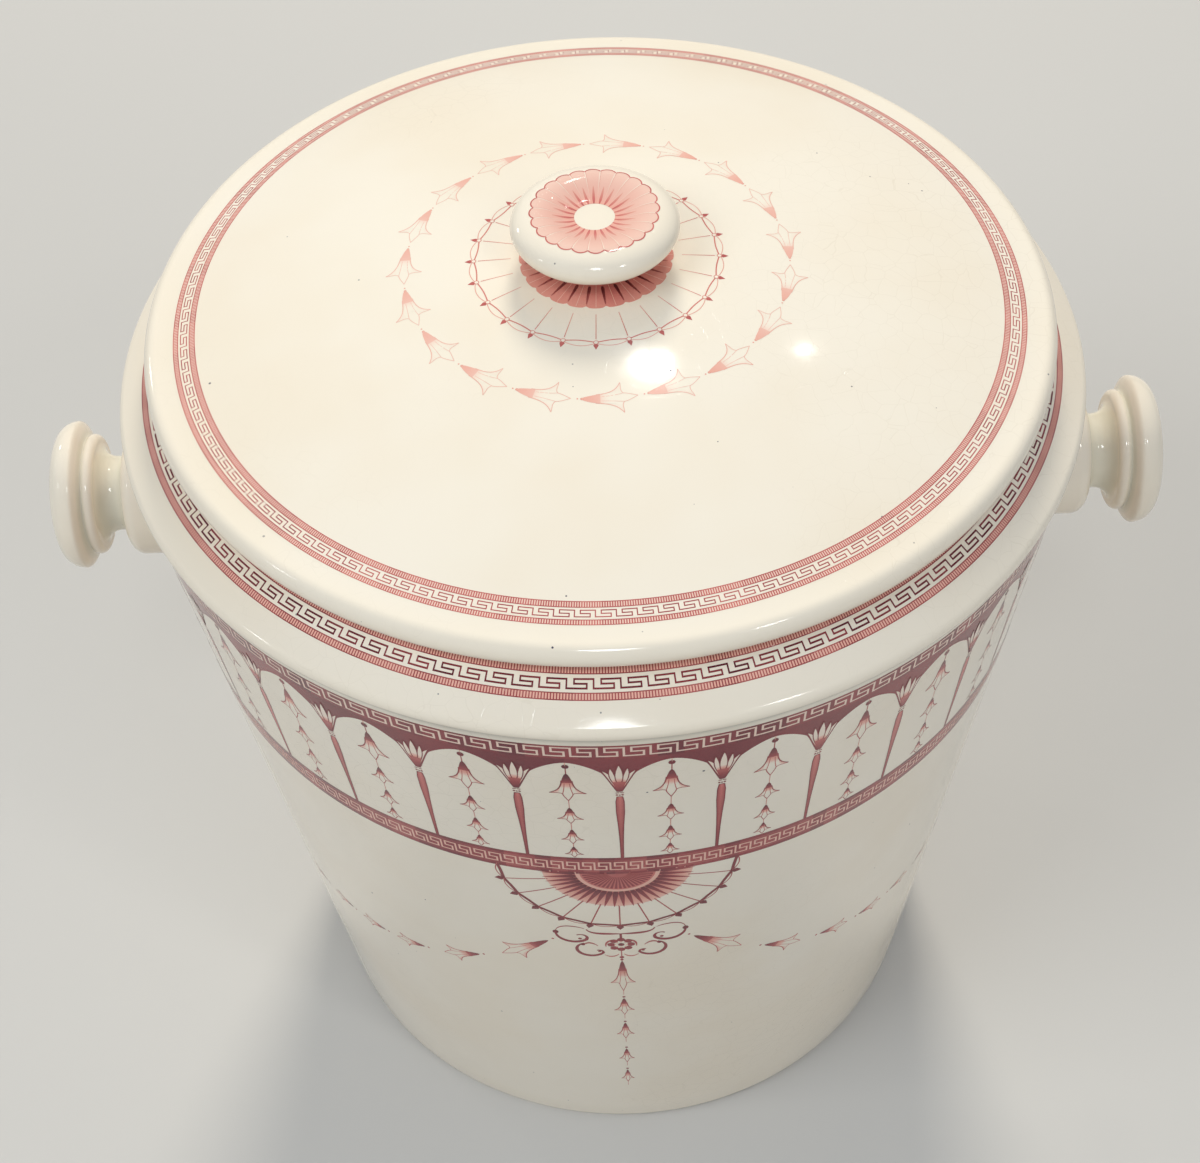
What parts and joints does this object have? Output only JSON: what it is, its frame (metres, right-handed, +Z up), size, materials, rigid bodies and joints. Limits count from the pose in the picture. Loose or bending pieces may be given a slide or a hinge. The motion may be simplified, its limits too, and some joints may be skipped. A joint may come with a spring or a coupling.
{
  "type": "lidded chamber pail",
  "caption": "Lidded chamber pail in glazed earthenware: tapering bucket with a sloping shoulder, knob-shaped side lugs, and a low domed lid with a dished knob and a locating flange.",
  "frame": {"origin": "centre of the foot ring, on the surface the pail stands on", "axes": "+Z up along the pail's axis, lugs on +X and -X, the main printed panel on -Y"},
  "size_m": [0.3256, 0.2688, 0.307],
  "materials": {
    "printed_glaze": "clear glossy glaze over white earthenware with a red transfer print",
    "white_glaze": "clear glossy glaze over white earthenware"
  },
  "bodies": {
    "pail": {"pail_body": "printed_glaze", "right_lug": "white_glaze", "left_lug": "white_glaze"},
    "cover": {"lid": "printed_glaze", "lid_knob": "printed_glaze"}
  },
  "joints": [
    {"name": "lid_lift", "type": "slide", "parent": "pail", "child": "cover", "axis": [0, 0, 1], "range_m": [0, 0.16]}
  ]
}
